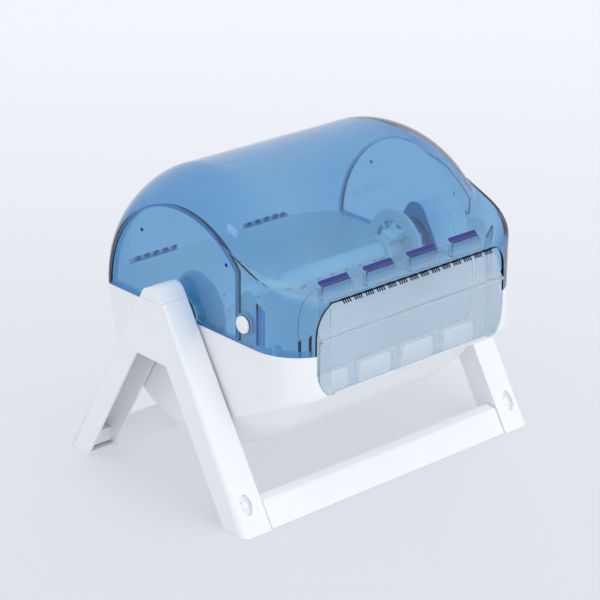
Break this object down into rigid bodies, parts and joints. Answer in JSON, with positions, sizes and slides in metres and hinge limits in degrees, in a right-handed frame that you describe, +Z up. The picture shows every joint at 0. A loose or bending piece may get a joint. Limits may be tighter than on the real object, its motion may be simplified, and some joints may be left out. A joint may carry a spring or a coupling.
{
  "type": "wiping roll dispenser",
  "caption": "Bench-top dispenser for wide paper rolls: white tray, see-through hinged hood, toothed mouth and spindle on A-frame stands.",
  "frame": {"origin": "on the floor, below the centre of the box round the dispenser", "axes": "+X to the right of someone looking at the mouth (looking along +Y), -Y out of the mouth, +Z up; X runs along the roll"},
  "size_m": [0.48, 0.3868, 0.3932],
  "materials": {
    "tray_white": "satin moulded",
    "stand_white": "gloss moulded",
    "latch_white": "gloss moulded",
    "hood_blue": "polished see-through",
    "guard_clear": "polished see-through",
    "nylon_grey": "satin",
    "steel": "zinc plated",
    "pad_rubber": "matt"
  },
  "bodies": {
    "base": {"front_crossbar": "stand_white", "front_left_crossbar_screw": "stand_white", "front_left_foot_pad": "pad_rubber", "front_left_stand_bolt": "steel", "front_left_stand_nut": "steel", "front_right_crossbar_screw": "stand_white", "front_right_foot_pad": "pad_rubber", "front_right_stand_bolt": "steel", "front_right_stand_nut": "steel", "left_apex_cap": "stand_white", "left_hinge_pin": "steel", "left_side_stand": "stand_white", "left_spindle_cradle": "nylon_grey", "rear_crossbar": "stand_white", "rear_left_crossbar_screw": "stand_white", "rear_left_foot_pad": "pad_rubber", "rear_left_stand_bolt": "steel", "rear_left_stand_nut": "steel", "rear_right_crossbar_screw": "stand_white", "rear_right_foot_pad": "pad_rubber", "rear_right_stand_bolt": "steel", "rear_right_stand_nut": "steel", "right_apex_cap": "stand_white", "right_hinge_pin": "steel", "right_side_stand": "stand_white", "right_spindle_cradle": "nylon_grey", "tear_guard": "guard_clear", "tray": "tray_white"},
    "hood": {"hood": "hood_blue"},
    "spindle": {"spindle_beam": "nylon_grey", "left_hub": "nylon_grey"},
    "sliding_hub": {"right_hub": "nylon_grey"},
    "left_button": {"left_latch_button": "latch_white"},
    "right_button": {"right_latch_button": "latch_white"},
    "left_tongue": {"left_latch_tongue": "latch_white"},
    "right_tongue": {"right_latch_tongue": "latch_white"}
  },
  "joints": [
    {"name": "hood_hinge", "type": "hinge", "parent": "base", "child": "hood", "pos_m": [0, 0.1892, 0.2185], "axis": [-1, 0, 0], "range_deg": [0, 105]},
    {"name": "spindle_spin", "type": "hinge", "parent": "base", "child": "spindle", "pos_m": [0, 0.0102, 0.2185], "axis": [1, 0, 0], "continuous": true},
    {"name": "hub_slide", "type": "slide", "parent": "spindle", "child": "sliding_hub", "axis": [-1, 0, 0], "range_m": [0, 0.06]},
    {"name": "left_latch_push", "type": "slide", "parent": "hood", "child": "left_button", "axis": [1, 0, 0], "range_m": [0, 0.004], "stiffness_N_per_m": 900, "springref_m": -0.001},
    {"name": "left_tongue_flex", "type": "slide", "parent": "base", "child": "left_tongue", "axis": [1, 0, 0], "range_m": [0, 0.004]},
    {"name": "right_latch_push", "type": "slide", "parent": "hood", "child": "right_button", "axis": [-1, 0, 0], "range_m": [0, 0.004], "stiffness_N_per_m": 900, "springref_m": -0.001},
    {"name": "right_tongue_flex", "type": "slide", "parent": "base", "child": "right_tongue", "axis": [-1, 0, 0], "range_m": [0, 0.004]}
  ],
  "couplings": [
    {"joint": "left_tongue_flex", "follows": "left_latch_push", "ratio": 1},
    {"joint": "right_tongue_flex", "follows": "right_latch_push", "ratio": 1}
  ]
}
